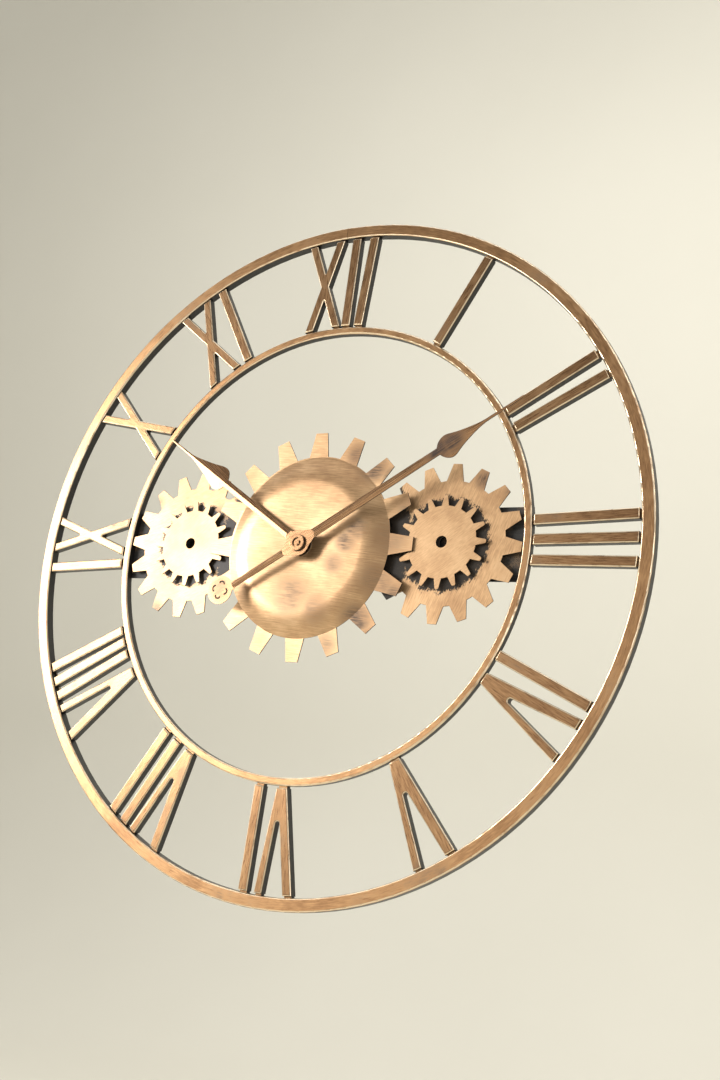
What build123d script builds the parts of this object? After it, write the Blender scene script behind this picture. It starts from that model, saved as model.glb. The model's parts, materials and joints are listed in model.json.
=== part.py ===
from build123d import *
import math
import os

# Skeleton wall clock. Millimetres, +Z up, the dial faces -Y.
# The origin is where the inner ring hangs on its nail: the wall plane, under the top of the inner ring.
# Everything is drawn about the rings' centre or the hands' axis, as seen from the front, then moved down.
# "front" and "back" are heights over the wall plane: a height h lies at y = -h.

# Rings
OUTER_R = 305.0
OUTER_FACE = 11.0
OUTER_DEPTH = 8.7
INNER_R = 205.1
INNER_FACE = 6.8
RING_EDGE = 1.3
SEAM_ANGLES = (0.0, 257.0)
SEAM_WIDTH = 0.6
SEAM_DEPTH = 0.35

# Sheet that the strip, the gears and the spacers are made of
SHEET = 1.2
INNER_BACK = SHEET
INNER_FRONT = 8.1

# Numerals
STROKE_BACK = SHEET
STROKE_FRONT = 8.5
STROKE_GAP = 1.6
STROKE_EDGE = 1.3
TAB_FRONT = 6.0
TAB_INSET = 1.0
BAR_WIDTH = 9.0
V_FOOT = 9.4
V_THICK = 9.0
V_THIN = 7.6
X_WIDTH = 7.8
NOTCH_R = 2.0
NOTCH_AT = 234.0
CROSS_R = 0.6

# Strokes seen with the numeral upright. Bars: sideways place at the inner ring and at the outer ring.
# v: place of the foot, of the two heads, and of the notch. x: foot and head of each stroke.
NUMERALS = {
    1: {"bars": [(0.0, -1.0)]},
    2: {"bars": [(-8.5, -8.5), (8.2, 11.8)]},
    3: {"bars": [(-16.8, -18.8), (-0.5, 0.0), (16.2, 19.5)]},
    4: {"bars": [(-12.1, -18.1)], "v": (8.7, -2.8, 28.2, 11.9)},
    5: {"v": (-0.3, -15.5, 15.2, 1.3)},
    6: {"v": (-1.9, -19.4, 9.4, -1.8), "bars": [(20.5, 24.2)]},
    7: {"v": (-6.6, -29.3, 0.8, -7.4), "bars": [(10.4, 13.9), (25.9, 30.4)]},
    8: {"v": (-11.8, -34.5, -4.4, -13.2), "bars": [(7.7, 9.2), (19.8, 23.9), (31.3, 38.9)]},
    9: {"bars": [(-10.5, -13.0)], "x": ((29.3, 6.7), (0.4, 35.2))},
    10: {"x": ((18.6, -9.9), (-10.4, 19.7))},
    11: {"x": ((-2.1, -36.3), (-31.1, -5.7)), "bars": [(11.1, 12.6)]},
    12: {"x": ((-0.9, -36.6), (-29.2, -5.9)), "bars": [(8.7, 10.7), (21.7, 29.5)]},
}

# Cross strip and its central plate, which is pierced for the movement
STRIP_HEIGHT = 62.0
STRIP_END_R = 204.6
STRIP_TILT = 1.3
GEAR_LINE_Z = 3.0
PLATE_R = 56.0
WINDOW = 57.4

# Decorative gears
GEAR_TEETH = 16
CENTRE_TIP_R = 102.3
CENTRE_ROOT_R = 80.5
CENTRE_TIP_WIDTH = 11.7
CENTRE_ROOT_WIDTH = 19.2
CENTRE_TURN = 0.8
TOOTH_FRONT = 12.2
DISC_FRONT = 18.0
DISC_R = 62.5
DISH_FOOT_R = 79.0
DISH_BEND = 9.0
SIDE_X = 129.0
LARGE_TIP_R = 68.1
LARGE_ROOT_R = 53.5
LARGE_TIP_WIDTH = 8.0
LARGE_ROOT_WIDTH = 15.8
LARGE_FRONT = 6.3
LARGE_TURN = 3.0
SMALL_X = 127.5
SMALL_TIP_R = 39.8
SMALL_ROOT_R = 31.0
SMALL_TIP_WIDTH = 3.2
SMALL_ROOT_WIDTH = 6.8
SMALL_FRONT = 10.0
SMALL_TURN = -0.6
SMALL_HOLE_R = 5.0
SPACER_R = 9.0
POST_R = 3.0
POST_X = 42.0
POST_Z = 22.0

# Hands. Their axis lies a little off the rings' centre.
HUB_X = 0.4
HUB_Z = -2.2
MINUTE_ANGLE = 59.4
HOUR_ANGLE = 304.1
ROOF_SLOPE = 12.0
HAND_SHEET = 0.9
BOSS_SHEET = 0.6
BOSS_R = 11.4
HOUR_RIDGE = 24.6
HOUR_BOSS_FRONT = 23.9
MINUTE_RIDGE = 28.6
MINUTE_BOSS_FRONT = 27.9
NECK_TIP = 17.5
NECK_RAKE = 0.4
TONGUE = 2.0
COUNTERWEIGHT_R = 12.7
COUNTERWEIGHT_AT = 84.6
COUNTERWEIGHT_SIDE = 3.0
HAND_NUT_R = 7.3
HAND_NUT_HEIGHT = 2.2

# Quartz movement case
CASE = 56.0
CASE_WALL = 1.2
CASE_FRONT = 16.0
CASE_CORNER = 2.0
BAY_TOP = -11.2
BAY_WALL = 1.0
BATTERY_R = 7.05
BATTERY_LENGTH = 49.0
BATTERY_NIPPLE_R = 2.7
BATTERY_NIPPLE = 1.4
BATTERY_Z = -19.6
BATTERY_MID = 7.6
CONTACT_SHEET = 0.4
BRIDGE_BACK = 7.9
BRIDGE_FRONT = 8.7

# Hub
BUSH_R = 4.0
BUSH_BORE_R = 2.55
BUSH_FRONT = 21.2
HOUR_TUBE_R = 2.5
HOUR_TUBE_BORE_R = 1.45
ARBOR_R = 1.4
STUD_R = 1.0
PIVOT_R = 0.35
PIVOT_PLAY = 0.05

# Wheels of the movement: teeth, module
PRESSURE_ANGLE = math.radians(25)
ADDENDUM = 0.8
DEDENDUM = 1.15
BACKLASH = 0.16
CENTRE_WHEEL = (80, 0.25)
THIRD_PINION = (10, 0.25)
THIRD_WHEEL = (75, 0.2)
SECONDS_PINION = (10, 0.2)
SECONDS_WHEEL = (60, 0.2)
INTERMEDIATE_PINION = (10, 0.2)
INTERMEDIATE_WHEEL = (60, 0.15)
ROTOR_PINION = (12, 0.15)
CANNON_PINION = (12, 0.5)
MINUTE_WHEEL = (36, 0.5)
MINUTE_PINION = (10, 0.48)
HOUR_WHEEL = (40, 0.48)
SET_PINION = (12, 0.5)

# Direction from each wheel to the one that it drives, degrees anticlockwise from 3 o'clock
THIRD_DIRECTION = 60.0
SECONDS_DIRECTION = 160.0
INTERMEDIATE_DIRECTION = 180.0
ROTOR_DIRECTION = 200.0
MINUTE_WHEEL_DIRECTION = 0.0
SET_DIRECTION = 45.0


def slab(face, back, front):
    """The face, drawn as seen from the front, as a solid between two heights over the wall."""
    return extrude(Plane.XZ.offset(back) * face, amount=front - back)


def disc(radius, back, front, at=(0.0, 0.0)):
    return slab(Pos(*at) * Circle(radius), back, front)


def outline(points):
    return make_face(Polyline(*points, close=True))


def annulus(inner, outer):
    return Circle(outer) - Circle(inner)


def front_edges(solid):
    """The edges round the face that looks out of the wall."""
    return solid.faces().sort_by(Axis.Y)[0].edges()


def ring(radius, face, back, front):
    """A flat bar rolled to a circle, with its two front edges rounded."""
    bar = slab(annulus(radius - face, radius), back, front)
    return fillet(front_edges(bar), RING_EDGE)


def outer_ring():
    bar = ring(OUTER_R, OUTER_FACE, 0, OUTER_DEPTH)
    middle = OUTER_R - OUTER_FACE / 2
    for angle in SEAM_ANGLES:
        groove = Pos(0, -OUTER_DEPTH, middle) * Box(SEAM_WIDTH, 2 * SEAM_DEPTH, 2 * OUTER_FACE)
        bar -= Rot(0, angle, 0) * groove
    return bar


def stroke(foot, head, width):
    """A straight stroke that runs past both rings, through the two sideways places given."""
    low = INNER_R
    high = OUTER_R - OUTER_FACE
    lean = (head - foot) / (high - low)
    half = width / 2 * math.hypot(1, lean)
    over = 12.0
    start = foot - lean * over
    end = head + lean * over
    return outline(
        [
            (start - half, low - over),
            (start + half, low - over),
            (end + half, high + over),
            (end - half, high + over),
        ]
    )


def taper(foot_left, foot_right, head_left, head_right, low, high):
    """A four-sided outline between two distances from the axis, drawn on past the outer ring's wall."""
    over = 1.15
    return outline(
        [
            (foot_left, low),
            (foot_right, low),
            (foot_right + over * (head_right - foot_right), low + over * (high - low)),
            (foot_left + over * (head_left - foot_left), low + over * (high - low)),
        ]
    )


def v_outline(spec, widen):
    """A V cut from one plate: a wedge with a round-ended notch. widen changes the width of each leg."""
    foot, left, right, notch = spec
    low = INNER_R - 1
    high = OUTER_R - OUTER_FACE
    half_foot = (V_FOOT + widen) / 2
    half_left = (V_THICK + widen) / 2
    half_right = (V_THIN + widen) / 2
    wedge = taper(foot - half_foot, foot + half_foot, left - half_left, right + half_right, low, high)
    radius = NOTCH_R - widen / 2
    centre = NOTCH_AT + NOTCH_R
    hollow = taper(notch - radius, notch + radius, left + half_left, right - half_right, centre, high)
    return wedge - hollow - Pos(notch, centre) * Circle(radius)


def x_outline(spec, widen):
    cross = stroke(*spec[0], X_WIDTH + widen) + stroke(*spec[1], X_WIDTH + widen)
    corners = cross.vertices().filter_by(lambda v: INNER_R < math.hypot(v.X, v.Y) < OUTER_R - OUTER_FACE)
    return fillet(corners, CROSS_R)


def glyph(kind, spec, widen=0.0):
    """The outline of one bar, V or X, before its ends are cut to the rings."""
    if kind == "bars":
        return stroke(*spec, BAR_WIDTH + widen)
    if kind == "v":
        return v_outline(spec, widen)
    return x_outline(spec, widen)


def piece_of_numeral(kind, spec):
    """A stroke with rounded front edges, and narrower recessed tabs that meet the two rings."""
    near = INNER_R
    far = OUTER_R - OUTER_FACE
    body = glyph(kind, spec) & annulus(near + STROKE_GAP, far - STROKE_GAP)
    body = slab(body, STROKE_BACK, STROKE_FRONT)
    body = fillet(front_edges(body), STROKE_EDGE)
    tabs = glyph(kind, spec, -2 * TAB_INSET) & annulus(near, far)
    return body + slab(tabs, STROKE_BACK, TAB_FRONT)


def numeral_parts():
    """One node for the bars of a numeral, and one for its V or X."""
    parts = {}
    for hour, spec in NUMERALS.items():
        turn = Rot(0, 30 * hour, 0)
        if "bars" in spec:
            bars = [turn * piece_of_numeral("bars", places) for places in spec["bars"]]
            parts[f"numeral_{hour:02d}_bars"] = Compound(bars)
        for kind in ("v", "x"):
            if kind in spec:
                parts[f"numeral_{hour:02d}_{kind}"] = turn * piece_of_numeral(kind, spec[kind])
    return parts


def gear_face(tip_r, root_r, tip_width, root_width, turn):
    """A disc with straight-sided teeth. turn is clockwise, in degrees."""
    flat_root = root_r - 1.0
    tooth = outline(
        [
            (-root_width / 2, flat_root),
            (root_width / 2, flat_root),
            (tip_width / 2, tip_r),
            (-tip_width / 2, tip_r),
        ]
    )
    face = Circle(root_r)
    for index in range(GEAR_TEETH):
        face += Rot(0, 0, -turn - index * 360 / GEAR_TEETH) * tooth
    return face


def on_hub(shape):
    """Sets a piece that is drawn about the hands' axis in its place on the dial."""
    return Pos(HUB_X, 0, HUB_Z) * shape


def on_gear_line(shape):
    """Sets a piece level with the cross strip, which is welded in a little out of level."""
    return Pos(0, 0, GEAR_LINE_Z) * Rot(0, STRIP_TILT, 0) * shape


def cross_strip():
    band = Rectangle(2 * OUTER_R, STRIP_HEIGHT) & Circle(STRIP_END_R)
    strip = on_gear_line(slab(band, 0, SHEET))
    plate = disc(PLATE_R, 0, SHEET)
    window = slab(Rectangle(WINDOW, WINDOW), -SHEET, 2 * SHEET)
    return strip + plate - on_hub(window)


def dish_line(lift):
    """Half of the dish's section: flat disc, cone and flat rim. lift moves it off the wall."""
    corners = [
        (0, -DISC_FRONT - lift),
        (DISC_R, -DISC_FRONT - lift),
        (DISH_FOOT_R, -TOOTH_FRONT - lift),
        (CENTRE_TIP_R + 1, -TOOTH_FRONT - lift),
    ]
    return FilletPolyline(*corners, radius=DISH_BEND)


def centre_gear():
    """The dish, its hole and its teeth. The hole is where the movement's bushing comes through."""
    front = dish_line(0)
    back = dish_line(-SHEET)
    axis_end = Line(front @ 0, back @ 0)
    rim_end = Line(front @ 1, back @ 1)
    dish = revolve(make_face([front, rim_end, back, axis_end]), axis=Axis.Y)
    teeth = gear_face(CENTRE_TIP_R, CENTRE_ROOT_R, CENTRE_TIP_WIDTH, CENTRE_ROOT_WIDTH, CENTRE_TURN)
    return (dish & slab(teeth, 0, CASE_FRONT + 4)) - on_hub(disc(BUSH_R + 0.2, CASE_FRONT, DISC_FRONT + 1))


def large_gear():
    face = gear_face(LARGE_TIP_R, LARGE_ROOT_R, LARGE_TIP_WIDTH, LARGE_ROOT_WIDTH, LARGE_TURN)
    return slab(face - Circle(SMALL_HOLE_R), LARGE_FRONT - SHEET, LARGE_FRONT)


def small_gear():
    face = gear_face(SMALL_TIP_R, SMALL_ROOT_R, SMALL_TIP_WIDTH, SMALL_ROOT_WIDTH, SMALL_TURN)
    tips = face.vertices().filter_by(lambda v: math.hypot(v.X, v.Y) > (SMALL_TIP_R + SMALL_ROOT_R) / 2)
    face = fillet(tips, SMALL_TIP_WIDTH * 0.4)
    return slab(face - Circle(SMALL_HOLE_R), SMALL_FRONT - SHEET, SMALL_FRONT)


def side_spacers():
    """Two rings: one between the strip and the large gear, one between the two gears."""
    collar = annulus(SMALL_HOLE_R + 0.5, SPACER_R)
    return Compound(
        [
            slab(collar, SHEET, LARGE_FRONT - SHEET),
            slab(collar, LARGE_FRONT, SMALL_FRONT - SHEET),
        ]
    )


def side_parts():
    parts = {}
    for side, sign in (("left", -1), ("right", 1)):
        parts[f"{side}_large_gear"] = on_gear_line(Pos(sign * SIDE_X, 0, 0) * large_gear())
        parts[f"{side}_small_gear"] = on_gear_line(Pos(sign * SMALL_X, 0, 0) * small_gear())
        parts[f"{side}_gear_spacers"] = on_gear_line(Pos(sign * SMALL_X, 0, 0) * side_spacers())
    return parts


def dish_posts():
    """Four posts that hold the flat middle of the centre gear off the strip's central plate."""
    places = [(x, z) for x in (-POST_X, POST_X) for z in (-POST_Z, POST_Z)]
    return Compound([disc(POST_R, SHEET, DISC_FRONT - SHEET, at) for at in places])


def roof(ridge):
    """A sheet folded along a hand's centre line, longer and wider than any hand."""
    reach = 20.0
    drop = reach * math.tan(math.radians(ROOF_SLOPE))
    section = outline(
        [
            (0, -ridge),
            (reach, drop - ridge),
            (reach, drop - ridge + HAND_SHEET),
            (0, HAND_SHEET - ridge),
            (-reach, drop - ridge + HAND_SHEET),
            (-reach, drop - ridge),
        ]
    )
    return extrude(section, amount=OUTER_R, both=True)


def blade(arm, spade, tip):
    """Half of a hand's outline, mirrored: a tapering arm, a spade, and a long point.
    Each argument is a list of half-width and distance from the axis."""
    edge = [
        Line(arm[0], arm[1]),
        Spline(arm[1], *spade, tip[0]),
        Line(tip[0], tip[1]),
    ]
    other = [line.mirror(Plane.YZ) for line in edge]
    root_half, root = arm[0]
    tip_half, end = tip[1]
    ends = [Line((-root_half, root), (root_half, root)), Line((tip_half, end), (-tip_half, end))]
    return make_face(edge + other + ends)


def neck_end(half):
    """The raked end of a neck, from its point back to a half-width."""
    back = NECK_TIP - NECK_RAKE * half
    return [(half, back), (0, NECK_TIP), (-half, back)]


def neck_plate(arm_half):
    """The flat web between a boss and its arm, pointed at the arm's ridge, with a tongue under the arm."""
    tongue = Pos(0, NECK_TIP) * Rectangle(2 * TONGUE, 2 * TONGUE + 8)
    return outline([(-8.0, 8.0), (8.0, 8.0)] + neck_end(arm_half)) + tongue


def folded_arm(outline_face, ridge):
    """The part of a hand that is folded along its middle, cut away where the flat neck runs up to a point."""
    arm = slab(outline_face, ridge - 8, ridge + 2) & roof(ridge)
    return arm - slab(outline([(-20, 0), (20, 0)] + neck_end(20)), 0, 40)


def pierced_pattern():
    """Four short curved slots cut through the counterweight."""
    slot = Pos(0, 5.2) * SlotArc(CenterArc((0, 0), 2.6, 20, 140), 1.5)
    return [Rot(0, 0, 45 + 90 * turn) * slot for turn in range(4)]


def minute_hand():
    arm = blade(
        [(4.0, 9.0), (3.2, 145.5)],
        [(6.3, 147.3), (9.5, 151), (10.8, 155.5), (8.8, 162), (6.2, 169), (4.2, 176), (2.5, 183)],
        [(1.2, 192), (0.7, 229)],
    )
    tail_end = COUNTERWEIGHT_AT - COUNTERWEIGHT_R
    tail = outline([(-3.0, 9.0), (3.0, 9.0), (2.7, tail_end), (-2.7, tail_end)])
    tail = Rot(0, 180, 0) * folded_arm(tail, MINUTE_RIDGE)
    weight = Pos(-COUNTERWEIGHT_SIDE, -COUNTERWEIGHT_AT) * (Circle(COUNTERWEIGHT_R) - pierced_pattern())
    web = outline([(-2.7, 4 - tail_end), (2.7, 4 - tail_end), (4, -3 - tail_end), (-8, -3 - tail_end)])
    flat = Circle(BOSS_R) + neck_plate(4.0) + Rot(0, 0, 180) * neck_plate(3.0) + weight + web
    boss = slab(flat - Circle(2.6), MINUTE_BOSS_FRONT - BOSS_SHEET, MINUTE_BOSS_FRONT)
    return Rot(0, MINUTE_ANGLE, 0) * (boss + folded_arm(arm, MINUTE_RIDGE) + tail)


def hour_hand():
    arm = blade(
        [(3.6, 9.0), (3.6, 105.5)],
        [(7.6, 108.3), (10.4, 112), (11.1, 116.5), (9.9, 122), (7.2, 130), (4.9, 139), (2.7, 148)],
        [(1.2, 158), (0.6, 186)],
    )
    flat = Circle(BOSS_R - 0.6) + neck_plate(3.6)
    boss = slab(flat - Circle(3.3), HOUR_BOSS_FRONT - BOSS_SHEET, HOUR_BOSS_FRONT)
    return Rot(0, HOUR_ANGLE, 0) * (boss + folded_arm(arm, HOUR_RIDGE))


def hour_collet():
    tube = disc(3.3, BUSH_FRONT + 0.4, HOUR_BOSS_FRONT)
    flange = disc(5.5, HOUR_BOSS_FRONT - BOSS_SHEET - 0.6, HOUR_BOSS_FRONT - BOSS_SHEET)
    return tube + flange - disc(HOUR_TUBE_R, 0, 40)


def minute_collet():
    """A flanged sleeve, pressed through the minute hand's boss from behind."""
    tube = disc(2.6, HOUR_BOSS_FRONT + 0.8, MINUTE_BOSS_FRONT)
    flange_front = MINUTE_BOSS_FRONT - BOSS_SHEET
    return tube + disc(BOSS_R - 0.6, flange_front - 1.2, flange_front) - disc(ARBOR_R, 0, 40)


def hand_nut():
    """A round nut screwed on the end of the minute arbor, with a slotted boss in its open front."""
    back = MINUTE_BOSS_FRONT
    front = back + HAND_NUT_HEIGHT
    body = fillet(front_edges(disc(HAND_NUT_R, back, front)), 0.5)
    well = slab(annulus(2.4, 4.3), front - 1.4, front + 1)
    slot = slab(Rectangle(6.0, 1.0), front - 0.9, front + 1)
    return body - well - Rot(0, 30, 0) * slot - disc(STUD_R, back - 1, back + 1.1)


def threaded_bushing():
    stem = disc(BUSH_R, CASE_FRONT - CASE_WALL, BUSH_FRONT)
    flange = disc(5.6, CASE_FRONT - CASE_WALL - 0.6, CASE_FRONT - CASE_WALL)
    return stem + flange - disc(BUSH_BORE_R, 0, 40)


def dial_nut():
    hexagon = RegularPolygon(6.0, 6, major_radius=False)
    return slab(hexagon - Circle(BUSH_R), DISC_FRONT + 0.5, DISC_FRONT + 2.5)


def polar(centre, distance, direction):
    angle = math.radians(direction)
    return (centre[0] + distance * math.cos(angle), centre[1] + distance * math.sin(angle))


def spacing(first, second):
    return (first[0] + second[0]) * first[1] / 2


def involute(angle):
    return math.tan(angle) - angle


def wheel_face(wheel, phase):
    """An involute gear outline. phase is the direction of one tooth, anticlockwise from 3 o'clock."""
    teeth, module = wheel
    pitch_r = teeth * module / 2
    base_r = pitch_r * math.cos(PRESSURE_ANGLE)
    root_r = pitch_r - DEDENDUM * module
    tip_r = pitch_r + ADDENDUM * module
    half_at_pitch = (math.pi / 2 - BACKLASH) * module / 2 / pitch_r
    radii = [root_r, max(base_r, root_r + 0.2 * module), pitch_r, (pitch_r + tip_r) / 2, tip_r]
    flank = []
    for radius in radii:
        roll = math.acos(min(1.0, base_r / radius))
        flank.append((radius, half_at_pitch + involute(PRESSURE_ANGLE) - involute(roll)))
    points = []
    for index in range(teeth):
        middle = math.radians(phase) + index * 2 * math.pi / teeth
        rising = [(radius, middle - half) for radius, half in flank]
        falling = [(radius, middle + half) for radius, half in reversed(flank)]
        points += [(r * math.cos(a), r * math.sin(a)) for r, a in rising + falling]
    return outline(points)


def meshed_phase(driver, driver_phase, driven, direction):
    """The phase that puts a gap of the driven wheel on the driver's tooth, along the line of centres."""
    offset = (direction - driver_phase) * driver[0] / 360
    return direction + 180 - (0.5 - offset) * 360 / driven[0]


def wheel(kind, phase, back, front, at):
    return slab(Pos(*at) * wheel_face(kind, phase), back, front)


def train():
    """The wheels from the centre arbor to the rotor, and the motion work, each with its arbor."""
    centre = (0.0, 0.0)
    third = polar(centre, spacing(CENTRE_WHEEL, THIRD_PINION), THIRD_DIRECTION)
    seconds = polar(third, spacing(THIRD_WHEEL, SECONDS_PINION), SECONDS_DIRECTION)
    intermediate = polar(seconds, spacing(SECONDS_WHEEL, INTERMEDIATE_PINION), INTERMEDIATE_DIRECTION)
    rotor = polar(intermediate, spacing(INTERMEDIATE_WHEEL, ROTOR_PINION), ROTOR_DIRECTION)
    minute = polar(centre, spacing(CANNON_PINION, MINUTE_WHEEL), MINUTE_WHEEL_DIRECTION)
    knob = polar(minute, spacing(MINUTE_WHEEL, SET_PINION), SET_DIRECTION)
    return {
        "centre": centre,
        "third": third,
        "seconds": seconds,
        "intermediate": intermediate,
        "rotor": rotor,
        "minute": minute,
        "knob": knob,
    }


def arbor(at, radius, back, front):
    """A shaft with a thinner pivot at each end, which runs in the cover and in the bridge."""
    return disc(radius, back, front, at) + disc(PIVOT_R, back - 0.6, front + 0.6, at)


def going_train(places):
    """Centre arbor, third wheel, seconds wheel, intermediate wheel and rotor."""
    shaft_back = CASE_WALL + 0.2
    shaft_front = BRIDGE_BACK - 0.2
    third_phase = meshed_phase(CENTRE_WHEEL, 0, THIRD_PINION, THIRD_DIRECTION)
    seconds_phase = meshed_phase(THIRD_WHEEL, third_phase, SECONDS_PINION, SECONDS_DIRECTION)
    middle_phase = meshed_phase(SECONDS_WHEEL, seconds_phase, INTERMEDIATE_PINION, INTERMEDIATE_DIRECTION)
    rotor_phase = meshed_phase(INTERMEDIATE_WHEEL, middle_phase, ROTOR_PINION, ROTOR_DIRECTION)
    centre = places["centre"]
    shaft = disc(ARBOR_R, shaft_back, MINUTE_BOSS_FRONT) + disc(PIVOT_R, shaft_back - 0.6, shaft_back)
    shaft += disc(STUD_R, MINUTE_BOSS_FRONT, MINUTE_BOSS_FRONT + 1.1)
    shaft += wheel(CENTRE_WHEEL, 0, 3.6, 4.4, centre) + wheel(CANNON_PINION, 0, 9.6, 11.6, centre)
    third = arbor(places["third"], 0.5, shaft_back, shaft_front)
    third += wheel(THIRD_PINION, third_phase, 3.2, 4.8, places["third"])
    third += wheel(THIRD_WHEEL, third_phase, 5.4, 6.2, places["third"])
    seconds = arbor(places["seconds"], 0.45, shaft_back, shaft_front)
    seconds += wheel(SECONDS_PINION, seconds_phase, 5.0, 6.6, places["seconds"])
    seconds += wheel(SECONDS_WHEEL, seconds_phase, 2.0, 2.6, places["seconds"])
    middle = arbor(places["intermediate"], 0.45, shaft_back, shaft_front)
    middle += wheel(INTERMEDIATE_PINION, middle_phase, 1.7, 2.9, places["intermediate"])
    middle += wheel(INTERMEDIATE_WHEEL, middle_phase, 5.4, 6.0, places["intermediate"])
    rotor = arbor(places["rotor"], 0.45, shaft_back, shaft_front)
    rotor += disc(2.4, 2.4, 4.6, places["rotor"])
    rotor += wheel(ROTOR_PINION, rotor_phase, 5.1, 6.3, places["rotor"])
    return {
        "centre_arbor": shaft,
        "third_wheel": third,
        "seconds_wheel": seconds,
        "intermediate_wheel": middle,
        "rotor": rotor,
    }


def motion_work(places):
    """Minute wheel, hour wheel and set knob."""
    minute_phase = meshed_phase(CANNON_PINION, 0, MINUTE_WHEEL, MINUTE_WHEEL_DIRECTION)
    hour_phase = meshed_phase(MINUTE_PINION, 0, HOUR_WHEEL, MINUTE_WHEEL_DIRECTION + 180)
    knob_phase = meshed_phase(MINUTE_WHEEL, minute_phase, SET_PINION, SET_DIRECTION)
    minute = disc(0.7, BRIDGE_BACK + 0.1, CASE_FRONT - 0.7, places["minute"])
    minute += wheel(MINUTE_WHEEL, minute_phase, 9.8, 11.4, places["minute"])
    minute += wheel(MINUTE_PINION, 0, 11.4, 13.6, places["minute"])
    hour = disc(HOUR_TUBE_R, 12.2, HOUR_BOSS_FRONT) + wheel(HOUR_WHEEL, hour_phase, 12.3, 13.3, (0.0, 0.0))
    hour -= disc(HOUR_TUBE_BORE_R, 0, 40)
    grip = slab(Pos(*places["knob"]) * wheel_face((30, 0.3), 0), 0.4, 2.8)
    knob = grip + disc(1.0, 2.8, 12.0, places["knob"]) + wheel(SET_PINION, knob_phase, 9.8, 11.4, places["knob"])
    return {"minute_wheel": minute, "hour_wheel": hour, "set_knob": knob}


def case_outline(inset=0.0):
    side = CASE - 2 * inset
    return fillet(Rectangle(side, side).vertices(), max(CASE_CORNER - inset, 0.5))


def front_case(places):
    inside = CASE / 2 - CASE_WALL
    shell = slab(case_outline(), CASE_WALL, CASE_FRONT)
    shell -= slab(case_outline(CASE_WALL), 0, CASE_FRONT - CASE_WALL)
    rib = Pos(0, BAY_TOP - BAY_WALL / 2) * Rectangle(2 * inside, BAY_WALL)
    shell += slab(rib, CASE_WALL, CASE_FRONT - CASE_WALL)
    shell -= disc(BUSH_R, 0, CASE_FRONT + 1)
    return shell - disc(0.7 + PIVOT_PLAY, 0, CASE_FRONT - 0.6, places["minute"])


def back_cover(places):
    cover = slab(case_outline(), 0, CASE_WALL)
    bay_height = BAY_TOP - BAY_WALL + CASE / 2 - CASE_WALL
    bay = Pos(0, -CASE / 2 + CASE_WALL + bay_height / 2) * Rectangle(CASE - 2 * CASE_WALL, bay_height)
    cover -= slab(bay, -1, CASE_WALL + 1)
    cover -= disc(5.2, -1, CASE_WALL + 1, places["knob"])
    for name in ("centre", "third", "seconds", "intermediate", "rotor"):
        cover -= disc(PIVOT_R + PIVOT_PLAY, 0.6, CASE_WALL + 1, places[name])
    return cover


def train_bridge(places):
    inside = CASE / 2 - CASE_WALL
    left = -19.0
    top = 17.6
    plate = Pos((left + inside) / 2, (BAY_TOP + top) / 2) * Rectangle(inside - left, top - BAY_TOP)
    bridge = slab(plate, BRIDGE_BACK, BRIDGE_FRONT)
    for name in ("third", "seconds", "intermediate", "rotor"):
        bridge -= disc(PIVOT_R + PIVOT_PLAY, 0, BRIDGE_FRONT + 1, places[name])
    bridge -= disc(ARBOR_R + PIVOT_PLAY, 0, BRIDGE_FRONT + 1, places["centre"])
    bridge -= disc(0.7 + PIVOT_PLAY, 0, BRIDGE_FRONT + 1, places["minute"])
    return bridge - disc(1.0 + PIVOT_PLAY, 0, BRIDGE_FRONT + 1, places["knob"])


def motor_parts(places):
    """Stator plate round the rotor, with the coil on its core beside it."""
    rotor = places["rotor"]
    coil_x = -22.6
    low, high = -1.0, 22.5
    stem = Pos(rotor[0], (low + high) / 2) * Rectangle(3.6, high - low)
    arms = [Pos((coil_x - 1.6 + rotor[0]) / 2, z) * Rectangle(rotor[0] - coil_x + 1.6, 3.0) for z in (0.5, 21.0)]
    plate = Pos(*rotor) * Circle(4.2) + stem + arms - Pos(*rotor) * Circle(3.0)
    stator = slab(plate, 3.2, 4.0)
    core = Pos(coil_x, -4.6, (low + high) / 2) * Box(3.0, 1.2, high - low)
    winding = Pos(coil_x, -4.6, 10.75) * Cylinder(3.0, 15.0)
    flanges = [Pos(coil_x, -4.6, z) * Box(6.2, 6.2, 1.0) for z in (2.75, 18.75)]
    coil = winding + flanges - core
    return {"stator": stator, "coil_core": core, "coil": coil}


def circuit_parts():
    """Board with its sealed chip, and the quartz crystal can beside the chip."""
    board = Pos(15.5, 22.4) * Rectangle(21.0, 8.0)
    chip = fillet(front_edges(disc(2.4, 4.2, 5.4, (11.0, 22.4))), 0.8)
    crystal = Pos(20.0, -5.2, 22.4) * Rot(0, 90, 0) * Cylinder(1.0, 6.0)
    return {"circuit_board": slab(board, 3.0, 4.2) + chip, "quartz_crystal": crystal}


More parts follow.
